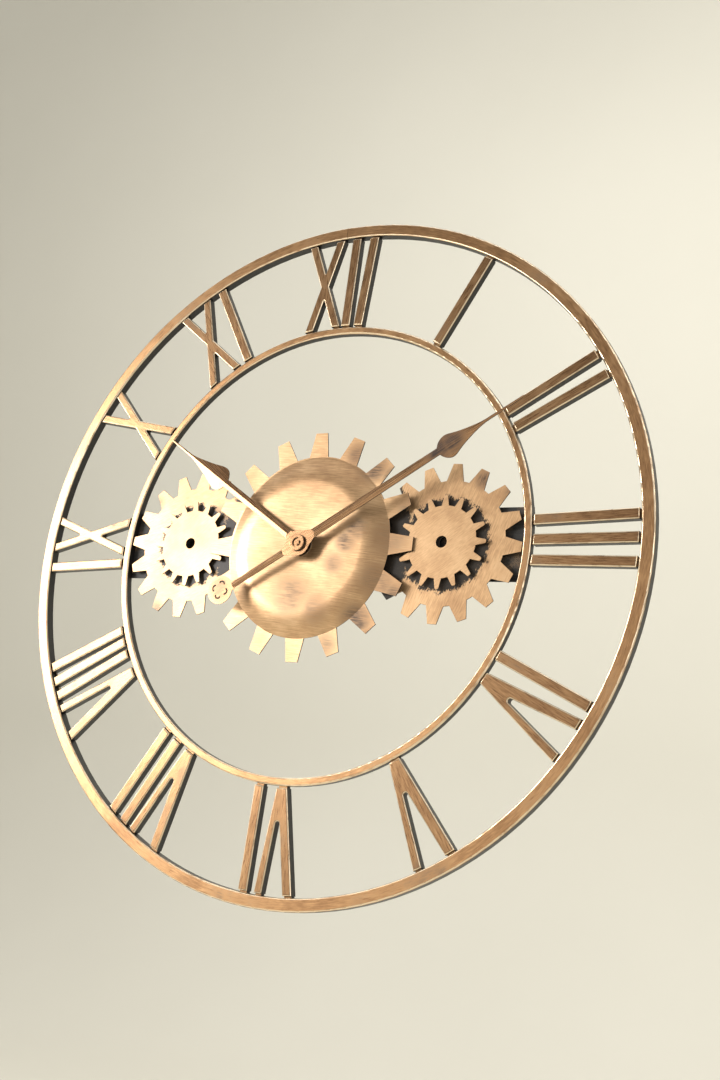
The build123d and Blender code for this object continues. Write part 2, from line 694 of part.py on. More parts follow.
def battery_parts():
    half = BATTERY_LENGTH / 2
    line = Pos(0, -BATTERY_MID, BATTERY_Z) * Rot(0, 90, 0)
    cell = fillet(Cylinder(BATTERY_R, BATTERY_LENGTH).edges().filter_by(GeomType.CIRCLE), 0.5)
    nipple = Pos(0, 0, half + BATTERY_NIPPLE / 2) * Cylinder(BATTERY_NIPPLE_R, BATTERY_NIPPLE)
    wall = CASE / 2 - CASE_WALL
    blade_face = Pos(0, BATTERY_Z) * Rectangle(CONTACT_SHEET, 10.0)
    positive = Pos(wall - CONTACT_SHEET / 2, 0, 0) * slab(blade_face, 2.0, 13.0)
    negative = Pos(-wall + CONTACT_SHEET / 2, 0, 0) * slab(blade_face, 2.0, 13.0)
    gap_start = -wall + CONTACT_SHEET
    spring = Pos(gap_start + 0.45, -BATTERY_MID, BATTERY_Z) * Rot(0, 90, 0) * Cylinder(3.0, 0.9)
    return {
        "battery": line * (cell + nipple),
        "positive_contact": positive,
        "negative_contact": negative + spring,
    }


def washers():
    return {
        "movement_gasket": slab(annulus(BUSH_R + 0.3, 12.0), CASE_FRONT, DISC_FRONT - SHEET),
        "dial_washer": slab(annulus(BUSH_R + 0.2, 8.0), DISC_FRONT, DISC_FRONT + 0.5),
    }


def hub_parts():
    """The hands, the movement and what holds them, about the hands' axis."""
    places = train()
    parts = {
        "minute_hand": minute_hand(),
        "minute_hand_collet": minute_collet(),
        "hand_nut": hand_nut(),
        "hour_hand": hour_hand(),
        "hour_hand_collet": hour_collet(),
        "threaded_bushing": threaded_bushing(),
        "dial_nut": dial_nut(),
        "movement_case": front_case(places),
        "movement_cover": back_cover(places),
        "train_bridge": train_bridge(places),
    }
    parts.update(going_train(places))
    parts.update(motion_work(places))
    parts.update(motor_parts(places))
    parts.update(circuit_parts())
    parts.update(battery_parts())
    parts.update(washers())
    return {node: on_hub(shape) for node, shape in parts.items()}


def all_parts():
    parts = {
        "outer_ring": outer_ring(),
        "inner_ring": ring(INNER_R, INNER_FACE, INNER_BACK, INNER_FRONT),
        "cross_strip": cross_strip(),
        "centre_gear": centre_gear(),
        "dish_posts": dish_posts(),
    }
    parts.update(numeral_parts())
    parts.update(side_parts())
    parts.update(hub_parts())
    return parts


os.makedirs("parts", exist_ok=True)
hang = Pos(0, 0, -(INNER_R - INNER_FACE))
for node, shape in all_parts().items():
    export_step(hang * shape, f"parts/{node}.step")
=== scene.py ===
import bpy
import bmesh
import json
import math
import random
from mathutils import Matrix, Vector

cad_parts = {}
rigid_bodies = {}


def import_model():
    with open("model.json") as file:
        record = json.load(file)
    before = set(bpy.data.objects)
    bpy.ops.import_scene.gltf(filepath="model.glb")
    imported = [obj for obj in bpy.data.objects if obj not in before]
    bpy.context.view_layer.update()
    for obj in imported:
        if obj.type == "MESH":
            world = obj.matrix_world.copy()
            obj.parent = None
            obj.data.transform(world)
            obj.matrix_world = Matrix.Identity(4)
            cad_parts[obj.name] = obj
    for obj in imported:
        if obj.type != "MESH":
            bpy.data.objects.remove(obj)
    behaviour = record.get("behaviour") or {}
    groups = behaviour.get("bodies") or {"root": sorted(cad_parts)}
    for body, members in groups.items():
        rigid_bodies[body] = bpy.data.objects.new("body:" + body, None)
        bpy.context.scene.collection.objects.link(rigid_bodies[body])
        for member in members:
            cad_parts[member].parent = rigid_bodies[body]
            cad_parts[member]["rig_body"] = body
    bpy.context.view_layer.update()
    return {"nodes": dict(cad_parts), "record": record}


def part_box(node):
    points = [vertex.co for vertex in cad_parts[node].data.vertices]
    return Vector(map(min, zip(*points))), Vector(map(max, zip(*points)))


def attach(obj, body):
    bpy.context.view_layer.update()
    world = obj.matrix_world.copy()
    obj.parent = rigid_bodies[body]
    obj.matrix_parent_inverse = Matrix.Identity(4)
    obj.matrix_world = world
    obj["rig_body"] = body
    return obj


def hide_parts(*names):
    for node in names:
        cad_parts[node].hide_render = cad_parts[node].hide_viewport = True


# The looks of the skeleton wall clock: materials, refined pieces, studio and camera.
# Metres. +X is to the right as the dial is read, +Z is up, and the dial faces -Y.

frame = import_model()
NODES = frame["nodes"]
SLOTS = {row["node"]: row["material_slot"] for row in frame["record"]["subparts"]}


def middle(node):
    low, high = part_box(node)
    return (low + high) / 2


# Places worked out from the frame
DIAL = Vector((0.0, 0.0, middle("outer_ring").z))
HUB = Vector((middle("hand_nut").x, 0.0, middle("hand_nut").z))
GEAR_CENTRES = {side: middle(f"{side}_small_gear") for side in ("left", "right")}

# Camera, relative to the dial's centre: place in metres, then turn, climb and lean in degrees
CAMERA_OFFSET = (0.5943, -0.9321, -0.2713)
CAMERA_TURN = 30.515
CAMERA_CLIMB = 14.413
CAMERA_LEAN = 6.486
LENS = 43.57
SENSOR = 36.0

# The centre gear's dish: radius of its fold and its foot, half the width of the soft fold, how far the
# finished face stands off the CAD's, how thick it is, and where the teeth begin
DISH_FOLD = 0.0640
DISH_FOOT = 0.0800
DISH_SOFT = 0.0080
DISH_LIFT = 0.0011
DISH_THICK = 0.0006
DISH_SKIM = 0.00004
TEETH_FROM = 0.095

# The minute hand at rest: its slope above +X in degrees, and its counterweight's place from the hub
MINUTE_SLOPE = 30.6
WEIGHT_BACK = 0.0846
WEIGHT_ASIDE = 0.0030
# Radius and thickness of the dark disc of painted shade behind the counterweight's slots
WEIGHT_SLOTS_R = 0.0094
SHADE_DISC_THICK = 0.0003

# The hour hand's slope, and the small gears' tooth count
HOUR_SLOPE = -39.0
TEETH = 16.0

# Weld beads: how far in from the rim, how near the rim a tab's end is, and half sizes
WELD_INSET = 0.0004
WELD_REACH = 0.0012
WELD_GAP = 0.009
WELD_RADIAL = 0.0017
WELD_DEPTH = 0.0012
WELD_BACK = -0.0014

# Colours, linear
GOLD_DEEP = (0.27, 0.145, 0.070)
GOLD = (0.64, 0.405, 0.215)
GOLD_LIGHT = (0.89, 0.66, 0.41)
# The rubbed colour is also a painted highlight on rounded edges, and the smoke colour also paints shade along
# them
GOLD_RUBBED_SHEEN = (0.98, 0.83, 0.60)
SMOKE_AND_SHADE = (0.065, 0.042, 0.034)
UNDERCOAT = (0.010, 0.009, 0.008)


class Nodes:
    """The node tree of one material, with short calls for the nodes that are used most."""

    def __init__(self, name):
        self.material = bpy.data.materials.new(name)
        self.material.use_nodes = True
        self.tree = self.material.node_tree
        self.tree.nodes.clear()
        self.place = self.add("ShaderNodeTexCoord").outputs["Object"]
        self.normal = self.add("ShaderNodeTexCoord").outputs["Normal"]

    def add(self, kind, inputs=None, **settings):
        node = self.tree.nodes.new(kind)
        for key, value in settings.items():
            setattr(node, key, value)
        for key, value in (inputs or {}).items():
            self.feed(node.inputs[key], value)
        return node

    def feed(self, socket, value):
        if isinstance(value, bpy.types.NodeSocket):
            self.tree.links.new(value, socket)
        elif socket.type == "RGBA" and len(value) == 3:
            socket.default_value = (*value, 1.0)
        else:
            socket.default_value = value

    def math(self, operation, first, second=0.0, third=0.0):
        inputs = {0: first, 1: second, 2: third}
        return self.add("ShaderNodeMath", inputs, operation=operation).outputs[0]

    def plus(self, first, second):
        return self.math("ADD", first, second)

    def minus(self, first, second):
        return self.math("SUBTRACT", first, second)

    def times(self, first, second):
        return self.math("MULTIPLY", first, second)

    def most(self, first, second):
        return self.math("MAXIMUM", first, second)

    def ramp(self, value, low, high, start=0.0, end=1.0):
        """Smooth step from start to end as value goes from low to high. low may be above high."""
        if low > high:
            low, high, start, end = high, low, end, start
        inputs = {"Value": value, "From Min": low, "From Max": high, "To Min": start, "To Max": end}
        node = self.add("ShaderNodeMapRange", inputs, interpolation_type="SMOOTHSTEP")
        return node.outputs[0]

    def split(self, vector):
        return self.add("ShaderNodeSeparateXYZ", {0: vector}).outputs

    def join(self, x, y, z):
        return self.add("ShaderNodeCombineXYZ", {0: x, 1: y, 2: z}).outputs[0]

    def shift(self, vector, offset):
        inputs = {0: vector, 1: offset}
        return self.add("ShaderNodeVectorMath", inputs, operation="ADD").outputs[0]

    def noise(self, vector, scale=1.0, detail=3.0, roughness=0.55):
        inputs = {"Vector": vector, "Scale": scale, "Detail": detail, "Roughness": roughness}
        return self.add("ShaderNodeTexNoise", inputs).outputs[0]

    def cells(self, vector, scale):
        inputs = {"Vector": vector, "Scale": scale}
        return self.add("ShaderNodeTexVoronoi", inputs).outputs["Distance"]

    def mix(self, share, first, second):
        inputs = {0: share, 6: first, 7: second}
        return self.add("ShaderNodeMix", inputs, data_type="RGBA").outputs[2]

    def blend(self, share, first, second):
        inputs = {0: share, 2: first, 3: second}
        return self.add("ShaderNodeMix", inputs, data_type="FLOAT").outputs[0]

    def bump(self, height, distance, strength=1.0, under=None):
        inputs = {"Height": height, "Distance": distance, "Strength": strength}
        if under is not None:
            inputs["Normal"] = under
        return self.add("ShaderNodeBump", inputs).outputs[0]

    def finish(self, **inputs):
        """Ends the tree in a Principled shader and gives the material."""
        named = {key.replace("_", " ").title(): value for key, value in inputs.items()}
        if "Specular Ior Level" in named:
            named["Specular IOR Level"] = named.pop("Specular Ior Level")
        shader = self.add("ShaderNodeBsdfPrincipled", named)
        output = self.add("ShaderNodeOutputMaterial")
        self.tree.links.new(shader.outputs[0], output.inputs[0])
        return self.material


def dial_place(nodes, centre=DIAL):
    """Sideways place, height and distance from a centre on the dial."""
    x, _, z = nodes.split(nodes.shift(nodes.place, (-centre.x, 0.0, -centre.z)))
    reach = nodes.math("SQRT", nodes.plus(nodes.times(x, x), nodes.times(z, z)))
    return x, z, reach


def round_grain(nodes, centre, fine, long):
    """Streaks that run round a centre: fine is streaks a metre across them, long along them."""
    x, z, reach = dial_place(nodes, centre)
    safe = nodes.most(reach, 0.002)
    along_x = nodes.math("DIVIDE", x, safe)
    along_z = nodes.math("DIVIDE", z, safe)
    spread = long * 0.2
    return nodes.join(nodes.times(along_x, spread), nodes.times(along_z, spread), nodes.times(reach, fine))


def spoke_grain(nodes, centre, fine, long):
    """Streaks that run out from a centre."""
    x, z, reach = dial_place(nodes, centre)
    safe = nodes.most(reach, 0.002)
    along_x = nodes.math("DIVIDE", x, safe)
    along_z = nodes.math("DIVIDE", z, safe)
    spread = fine * 0.25
    return nodes.join(nodes.times(along_x, spread), nodes.times(along_z, spread), nodes.times(reach, long))


def straight_grain(nodes, turn, fine, long):
    """Straight streaks. turn is their slope, anticlockwise in degrees."""
    x, z, _ = dial_place(nodes)
    cos = math.cos(math.radians(turn))
    sin = math.sin(math.radians(turn))
    along = nodes.plus(nodes.times(x, cos), nodes.times(z, sin))
    across = nodes.minus(nodes.times(z, cos), nodes.times(x, sin))
    return nodes.join(nodes.times(along, long), nodes.times(across, fine), 0.0)


def spots(nodes, places):
    """How strong the listed dark spots are at a point. Each is x, z, radius and strength."""
    x, z, _ = dial_place(nodes)
    near = 0.0
    for spot_x, spot_z, radius, strength in places:
        dx = nodes.minus(x, spot_x)
        dz = nodes.minus(z, spot_z)
        reach = nodes.math("SQRT", nodes.plus(nodes.times(dx, dx), nodes.times(dz, dz)))
        near = nodes.most(near, nodes.ramp(reach, radius, radius * 0.15, 0.0, strength))
    return near


def antique(
    name, grain, tone=(1.0, 1.0, 1.0), rough=0.36, metal=0.93, patches=0.6, dark_spots=(), rounded=True,
    fringe=None, relief=0.25, streaky=0.46,
):
    """Copper-gold rubbed over black paint: a brushed front, black sides, and rounded edges that are bright
    from rubbed wear and a painted highlight, with a painted dark band where each edge begins to turn.
    """
    nodes = Nodes(name)
    streak_place = grain(nodes)
    streaks = nodes.noise(streak_place, 1.0, 5.0, 0.62)
    broad = nodes.noise(nodes.place, 16.0, 3.0, 0.5)
    cloud = nodes.noise(nodes.place, 55.0, 4.0, 0.6)
    speck = nodes.noise(nodes.place, 1400.0, 2.0, 0.5)
    facing = nodes.times(nodes.split(nodes.normal)[1], -1.0)

    # Gold, from brushed-through brown to light
    deep, plain, light = (
        tuple(min(part * share, 0.97) for part, share in zip(colour, tone))
        for colour in (GOLD_DEEP, GOLD, GOLD_LIGHT)
    )
    brushed = nodes.times(nodes.minus(streaks, 0.5), streaky)
    shade = nodes.plus(brushed, nodes.plus(nodes.times(cloud, 0.16), 0.42))
    shade = nodes.plus(shade, nodes.times(nodes.minus(broad, 0.5), 0.22))
    gold = nodes.mix(nodes.ramp(shade, 0.30, 0.62), deep, plain)
    gold = nodes.mix(nodes.ramp(shade, 0.46, 0.80), gold, light)

    # Smoky patches where the black shows through, torn along the grain
    torn = nodes.plus(nodes.times(cloud, 0.3), nodes.times(streaks, 0.35))
    torn = nodes.plus(nodes.times(broad, 0.7), torn)
    patch = nodes.times(nodes.ramp(torn, 0.70, 0.90), patches)
    # Listed dark spots: smudges, and on the centre gear also painted reflection and shade
    if dark_spots:
        scratches = nodes.times(nodes.ramp(streaks, 0.38, 0.60), 0.75)
        thin = nodes.plus(nodes.plus(scratches, nodes.times(nodes.ramp(cloud, 0.35, 0.65), 0.45)), 0.15)
        patch = nodes.most(patch, nodes.times(spots(nodes, dark_spots), thin))
    gold = nodes.mix(patch, gold, SMOKE_AND_SHADE)

    side = nodes.ramp(nodes.plus(facing, nodes.times(nodes.minus(cloud, 0.5), 0.35)), 0.42, 0.12)
    # Black behind the gears on the large gears: unsprayed undercoat and painted shade between the parts
    if fringe is not None:
        side = nodes.most(side, fringe(nodes, streaks))
    # Rounded edges: rubbed wear with a painted highlight all round them, and a painted shaded band where the
    # face turns into the edge
    if rounded:
        rubbed_sheen = nodes.times(nodes.ramp(facing, 0.985, 0.93), nodes.ramp(facing, 0.25, 0.5))
        rubbed_sheen = nodes.times(rubbed_sheen, nodes.ramp(nodes.plus(cloud, nodes.times(streaks, 0.5)), 0.45, 0.75))
        line = nodes.times(nodes.ramp(facing, 0.9995, 0.992), nodes.ramp(facing, 0.95, 0.985))
        gold = nodes.mix(nodes.times(line, 0.65), gold, SMOKE_AND_SHADE)
        gold = nodes.mix(nodes.times(rubbed_sheen, 0.8), gold, GOLD_RUBBED_SHEEN)
    dust = nodes.times(nodes.ramp(speck, 0.62, 0.74), 0.35)
    dark = nodes.mix(dust, UNDERCOAT, GOLD_DEEP)
    colour = nodes.mix(side, gold, dark)

    cover = nodes.minus(1.0, nodes.most(side, nodes.times(patch, 0.7)))
    roughness = nodes.plus(rough, nodes.times(nodes.minus(streaks, 0.5), 0.25))
    roughness = nodes.plus(roughness, nodes.times(nodes.most(side, patch), 0.22))
    height = nodes.plus(nodes.times(streaks, 0.5), nodes.times(speck, 0.2))
    normal = nodes.bump(height, 0.00010, relief, nodes.bump(cloud, 0.0003, relief * 0.3))
    return nodes.finish(
        base_color=colour, metallic=nodes.times(cover, metal), roughness=roughness, normal=normal,
        coat_weight=0.5, coat_roughness=0.3, specular_ior_level=0.2,
    )


def unsprayed_and_shaded(centre, nudge, small_reach, centre_reach):
    """Black behind the small gear's teeth and the centre gear's: undercoat that the spray did not reach, with
    painted shade between the gears.
    """

    def fringe(nodes, streaks):
        x, z, reach = dial_place(nodes, centre + Vector((nudge[0], 0.0, nudge[1])))
        wave = nodes.math("COSINE", nodes.times(nodes.math("ARCTAN2", z, x), TEETH))
        edge = nodes.plus(small_reach, nodes.times(wave, 0.0010))
        fray = nodes.noise(nodes.place, 420.0, 3.0, 0.65)
        tear = nodes.times(nodes.minus(nodes.plus(streaks, fray), 1.0), 0.011)
        behind_small = nodes.ramp(nodes.plus(nodes.minus(reach, edge), tear), 0.0012, -0.0012)
        far = dial_place(nodes, HUB)[2]
        behind_centre = nodes.ramp(nodes.plus(nodes.minus(far, centre_reach), tear), 0.0022, -0.0022)
        return nodes.times(nodes.most(behind_small, behind_centre), 0.97)

    return fringe


def black_sheet():
    """Semi-matt black with gold overspray and faint brushing."""
    nodes = Nodes("black_sheet")
    grain = nodes.noise(straight_grain(nodes, 2.0, 700.0, 30.0), 1.0, 4.0, 0.6)
    speck = nodes.noise(nodes.place, 1500.0, 2.0, 0.6)
    cloud = nodes.noise(nodes.place, 40.0, 4.0, 0.6)
    facing = nodes.times(nodes.split(nodes.normal)[1], -1.0)
    mist = nodes.times(nodes.ramp(cloud, 0.45, 0.75), nodes.ramp(facing, 0.4, 0.9))
    spray = nodes.times(nodes.ramp(speck, 0.66, 0.4), mist)
    spray = nodes.plus(nodes.times(spray, 0.5), nodes.times(nodes.ramp(speck, 0.7, 0.8), 0.5))
    colour = nodes.mix(nodes.ramp(grain, 0.3, 0.8), UNDERCOAT, (0.04, 0.038, 0.036))
    colour = nodes.mix(spray, colour, GOLD)
    rough = nodes.plus(0.42, nodes.times(cloud, 0.25))
    normal = nodes.bump(nodes.plus(speck, grain), 0.0001, 0.3)
    return nodes.finish(base_color=colour, metallic=nodes.times(spray, 0.8), roughness=rough, normal=normal)


def turned_metal(name, light, dark, rough, centre=HUB):
    """Metal with lathe rings about the hub, tarnished in patches."""
    nodes = Nodes(name)
    rings = nodes.noise(round_grain(nodes, centre, 5200.0, 30.0), 1.0, 3.0, 0.6)
    tarnish = nodes.noise(nodes.place, 260.0, 4.0, 0.65)
    colour = nodes.mix(nodes.ramp(rings, 0.35, 0.7), dark, light)
    stain = tuple(c * 0.45 for c in dark)
    colour = nodes.mix(nodes.times(nodes.ramp(tarnish, 0.55, 0.78), 0.7), colour, stain)
    roughness = nodes.plus(rough, nodes.times(tarnish, 0.2))
    return nodes.finish(
        base_color=colour, metallic=0.96, roughness=roughness, normal=nodes.bump(rings, 0.00005, 0.35)
    )


def plated_metal(name, light, dark, rough, turn=90.0):
    """Stamped or plated sheet, with rolling lines and small stains."""
    nodes = Nodes(name)
    rolled = nodes.noise(straight_grain(nodes, turn, 4200.0, 160.0), 1.0, 4.0, 0.6)
    stain = nodes.noise(nodes.place, 320.0, 4.0, 0.6)
    colour = nodes.mix(nodes.ramp(rolled, 0.3, 0.7), dark, light)
    colour = nodes.mix(nodes.times(nodes.ramp(stain, 0.58, 0.8), 0.5), colour, tuple(c * 0.5 for c in dark))
    roughness = nodes.plus(rough, nodes.times(stain, 0.22))
    return nodes.finish(
        base_color=colour, metallic=0.95, roughness=roughness, normal=nodes.bump(rolled, 0.00004, 0.3)
    )


def moulded_plastic(name, colour, worn, rough, grain_size=2600.0):
    """Spark-eroded mould texture, with scuffs and a little dust."""
    nodes = Nodes(name)
    pits = nodes.noise(nodes.place, grain_size, 3.0, 0.6)
    flow = nodes.noise(nodes.place, 90.0, 3.0, 0.5)
    scuff = nodes.noise(straight_grain(nodes, 35.0, 1800.0, 60.0), 1.0, 3.0, 0.6)
    scuffed = nodes.times(nodes.ramp(scuff, 0.66, 0.8), 0.6)
    share = nodes.plus(nodes.times(nodes.ramp(flow, 0.4, 0.7), 0.5), scuffed)
    tint = nodes.mix(share, colour, worn)
    tint = nodes.mix(nodes.times(nodes.ramp(pits, 0.6, 0.75), 0.3), tint, tuple(c * 0.6 for c in colour))
    roughness = nodes.plus(rough, nodes.times(flow, 0.2))
    normal = nodes.bump(pits, 0.00006, 0.5)
    return nodes.finish(base_color=tint, metallic=0.0, roughness=roughness, normal=normal)


def rubber():
    nodes = Nodes("rubber")
    pits = nodes.noise(nodes.place, 1900.0, 3.0, 0.6)
    bloom = nodes.noise(nodes.place, 120.0, 3.0, 0.6)
    colour = nodes.mix(nodes.ramp(bloom, 0.45, 0.75), (0.018, 0.018, 0.019), (0.06, 0.06, 0.058))
    return nodes.finish(
        base_color=colour, metallic=0.0, roughness=nodes.plus(0.65, nodes.times(bloom, 0.25)),
        normal=nodes.bump(pits, 0.00008, 0.5),
    )


def magnet():
    nodes = Nodes("magnet")
    grit = nodes.noise(nodes.place, 5200.0, 3.0, 0.7)
    cloud = nodes.noise(nodes.place, 500.0, 2.0, 0.5)
    colour = nodes.mix(nodes.ramp(grit, 0.4, 0.65), (0.07, 0.07, 0.075), (0.26, 0.26, 0.28))
    return nodes.finish(
        base_color=colour, metallic=0.35, roughness=nodes.plus(0.4, nodes.times(cloud, 0.25)),
        normal=nodes.bump(grit, 0.00004, 0.5),
    )


def coil_windings():
    """Fine enamelled wire, seen as close rings along the coil's upright axis."""
    nodes = Nodes("coil_copper")
    height = nodes.split(nodes.place)[2]
    turns = nodes.math("SINE", nodes.times(height, 2 * math.pi / 0.00022))
    wander = nodes.noise(nodes.place, 900.0, 3.0, 0.5)
    # Darker in the grooves between turns and lighter on their crowns: painted shade and highlight of the
    # round wire
    colour = nodes.mix(nodes.ramp(turns, -0.8, 0.7), (0.16, 0.045, 0.018), (0.72, 0.30, 0.12))
    colour = nodes.mix(nodes.times(nodes.ramp(wander, 0.5, 0.75), 0.5), colour, (0.34, 0.11, 0.04))
    return nodes.finish(
        base_color=colour, metallic=0.75, roughness=nodes.plus(0.22, nodes.times(wander, 0.2)),
        normal=nodes.bump(turns, 0.00008, 0.8),
    )


def circuit():
    """Green solder mask with copper tracks under it, and tinned pads."""
    nodes = Nodes("board")
    x, _, z = nodes.split(nodes.place)
    across = nodes.math("SINE", nodes.times(x, 5200.0))
    upright = nodes.math("SINE", nodes.times(z, 5200.0))
    weave = nodes.times(across, upright)
    slant = nodes.times(nodes.plus(z, nodes.times(x, 0.35)), 3300.0)
    tracks = nodes.ramp(nodes.math("SINE", slant), 0.45, 0.7)
    pads = nodes.ramp(nodes.cells(nodes.place, 330.0), 0.24, 0.18)
    colour = nodes.mix(nodes.ramp(weave, -1.0, 1.0), (0.010, 0.062, 0.022), (0.016, 0.085, 0.032))
    colour = nodes.mix(nodes.times(tracks, 0.8), colour, (0.035, 0.17, 0.05))
    colour = nodes.mix(pads, colour, (0.62, 0.60, 0.56))
    height = nodes.plus(nodes.times(tracks, 0.4), pads)
    return nodes.finish(
        base_color=colour, metallic=nodes.times(pads, 0.9), roughness=nodes.blend(pads, 0.28, 0.38),
        normal=nodes.bump(height, 0.00006, 0.8),
    )


def battery_jacket():
    """Plain wrapped cell: dark body, copper band at the positive end, bare steel ends."""
    nodes = Nodes("battery_jacket")
    low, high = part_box("battery")
    x = nodes.split(nodes.place)[0]
    along = nodes.ramp(x, low.x, high.x)
    scratch = nodes.noise(straight_grain(nodes, 0.0, 2600.0, 60.0), 1.0, 4.0, 0.6)
    band = nodes.ramp(x, high.x - 0.0145, high.x - 0.0143)
    body = nodes.mix(nodes.ramp(scratch, 0.62, 0.8), (0.030, 0.032, 0.036), (0.12, 0.12, 0.125))
    copper = nodes.mix(nodes.ramp(scratch, 0.3, 0.8), (0.46, 0.20, 0.085), (0.68, 0.34, 0.16))
    colour = nodes.mix(band, body, copper)
    end = nodes.math("ABSOLUTE", nodes.split(nodes.normal)[0])
    bare = nodes.ramp(end, 0.6, 0.8)
    colour = nodes.mix(bare, colour, (0.66, 0.66, 0.66))
    sheen = nodes.most(nodes.times(band, 0.8), nodes.times(bare, 0.95))
    wrinkle = nodes.plus(scratch, nodes.times(along, 0.01))
    return nodes.finish(
        base_color=colour, metallic=sheen, roughness=nodes.plus(0.22, nodes.times(scratch, 0.16)),
        normal=nodes.bump(wrinkle, 0.00004, 0.3),
    )


def paint(obj, material):
    obj.data.materials.clear()
    obj.data.materials.append(material)


def paint_node(node, material):
    """Puts a better material in a carried-over node's own slots."""
    slots = NODES[node].material_slots
    if not slots:
        NODES[node].data.materials.append(material)
    for slot in slots:
        slot.material = material


def new_piece(name, mesh, body, slot, material, *nodes):
    """A finished piece that rides on a body, wears the given material and may stand for CAD nodes. Its slot
    argument is not used.
    """
    obj = bpy.data.objects.new(name, mesh)
    bpy.context.scene.collection.objects.link(obj)
    paint(obj, material)
    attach(obj, body)
    if nodes:
        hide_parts(*nodes)
    return obj


def smooth_by_angle(mesh, degrees):
    mesh.polygons.foreach_set("use_smooth", [True] * len(mesh.polygons))
    mesh.set_sharp_from_angle(angle=math.radians(degrees))


def refined(node, material, ease, corner=50.0):
    """A node's shape with its flats cleaned up and its sharp corners eased, as on real sheet and bar."""
    source = NODES[node].data
    mesh = bpy.data.meshes.new(f"{node}_finished")
    mesh.from_pydata([v.co for v in source.vertices], [], [p.vertices[:] for p in source.polygons])
    shape = bmesh.new()
    shape.from_mesh(mesh)
    bmesh.ops.remove_doubles(shape, verts=shape.verts, dist=2e-6)
    bmesh.ops.dissolve_limit(
        shape, angle_limit=math.radians(0.4), verts=shape.verts, edges=shape.edges, delimit=set()
    )
    shape.to_mesh(mesh)
    shape.free()
    obj = new_piece(f"{node}_finished", mesh, NODES[node]["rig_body"], SLOTS[node], material, node)
    bevel = obj.modifiers.new("ease", "BEVEL")
    bevel.width = ease
    bevel.segments = 2
    bevel.limit_method = "ANGLE"
    bevel.angle_limit = math.radians(corner)
    bevel.use_clamp_overlap = True
    even = obj.modifiers.new("even", "WEIGHTED_NORMAL")
    even.keep_sharp = True
    smooth_by_angle(mesh, corner)
    view = bpy.context.evaluated_depsgraph_get()
    done = bpy.data.meshes.new_from_object(obj.evaluated_get(view))
    obj.modifiers.clear()
    obj.data = done
    return obj


def studio():
    """Pale floor and sweep."""
    floor_z = DIAL.z - 1.15
    width, front, back, radius, top = 16.0, -12.0, 5.0, 1.6, 9.0
    profile = [(front, 0.0), (back - radius, 0.0)]
    for step in range(1, 17):
        angle = math.radians(90 * step / 16)
        profile.append((back - radius + radius * math.sin(angle), radius - radius * math.cos(angle)))
    profile.append((back, top))
    mesh = bpy.data.meshes.new("studio_floor")
    verts = [(side * width, y, floor_z + z) for y, z in profile for side in (-1, 1)]
    faces = [(2 * i, 2 * i + 1, 2 * i + 3, 2 * i + 2) for i in range(len(profile) - 1)]
    mesh.from_pydata(verts, [], faces)
    mesh.polygons.foreach_set("use_smooth", [True] * len(faces))
    floor = bpy.data.objects.new("studio_floor", mesh)
    bpy.context.scene.collection.objects.link(floor)
    nodes = Nodes("pale_floor")
    cloud = nodes.noise(nodes.place, 0.7, 3.0, 0.5)
    colour = nodes.mix(cloud, (0.70, 0.68, 0.60), (0.76, 0.74, 0.66))
    mesh.materials.append(nodes.finish(base_color=colour, roughness=0.9))


def softbox(name, place, aim, size, power, colour):
    data = bpy.data.lights.new(name, "AREA")
    data.shape = "RECTANGLE"
    data.size, data.size_y = size
    data.energy = power
    data.color = colour
    light = bpy.data.objects.new(name, data)
    light.location = place
    light.rotation_euler = (Vector(aim) - Vector(place)).to_track_quat("-Z", "Y").to_euler()
    bpy.context.scene.collection.objects.link(light)
    return light


def surround():
    """Pale light from all round, darker overhead, and the view's plain tone curve."""
    bpy.context.scene.view_settings.view_transform = "Standard"
    world = bpy.data.worlds.new("surround")
    bpy.context.scene.world = world
    world.use_nodes = True
    tree = world.node_tree
    tree.nodes.clear()
    place = tree.nodes.new("ShaderNodeTexCoord")
    split = tree.nodes.new("ShaderNodeSeparateXYZ")
    ramp = tree.nodes.new("ShaderNodeValToRGB")
    shift = tree.nodes.new("ShaderNodeMapRange")
    shift.inputs["From Min"].default_value = -1.0
    background = tree.nodes.new("ShaderNodeBackground")
    output = tree.nodes.new("ShaderNodeOutputWorld")
    tree.links.new(place.outputs["Generated"], split.inputs[0])
    tree.links.new(split.outputs["Z"], shift.inputs["Value"])
    tree.links.new(shift.outputs[0], ramp.inputs[0])
    tree.links.new(ramp.outputs[0], background.inputs["Color"])
    tree.links.new(background.outputs[0], output.inputs[0])
    stops = ramp.color_ramp.elements
    stops[0].position, stops[0].color = 0.0, (0.75, 0.73, 0.68, 1.0)
    stops[1].position, stops[1].color = 1.0, (0.95, 0.92, 0.86, 1.0)
    levels = ((0.55, 0.74), (0.62, 0.62), (0.67, 0.22), (0.71, 0.09), (0.78, 0.16), (0.86, 0.95))
    for position, level in levels:
        stop = stops.new(position)
        stop.color = (level, level * 0.975, level * 0.91, 1.0)
    background.inputs["Strength"].default_value = 1.0


def lights():
    """A key from the left that the left gear mirrors, a weak fill from the right, and a wash on the sweep."""
    softbox("key", DIAL + Vector((-1.82, -1.23, 0.34)), DIAL, (1.5, 0.72), 46.0, (1.0, 0.97, 0.93))
    softbox("side", DIAL + Vector((2.2, -1.5, 0.7)), DIAL, (1.0, 1.2), 14.0, (1.0, 0.98, 0.95))
    above, sweep = DIAL + Vector((0.0, 1.2, 3.6)), DIAL + Vector((0.0, 5.0, 0.8))
    softbox("wash", above, sweep, (8.0, 1.5), 160.0, (1.0, 0.985, 0.96))


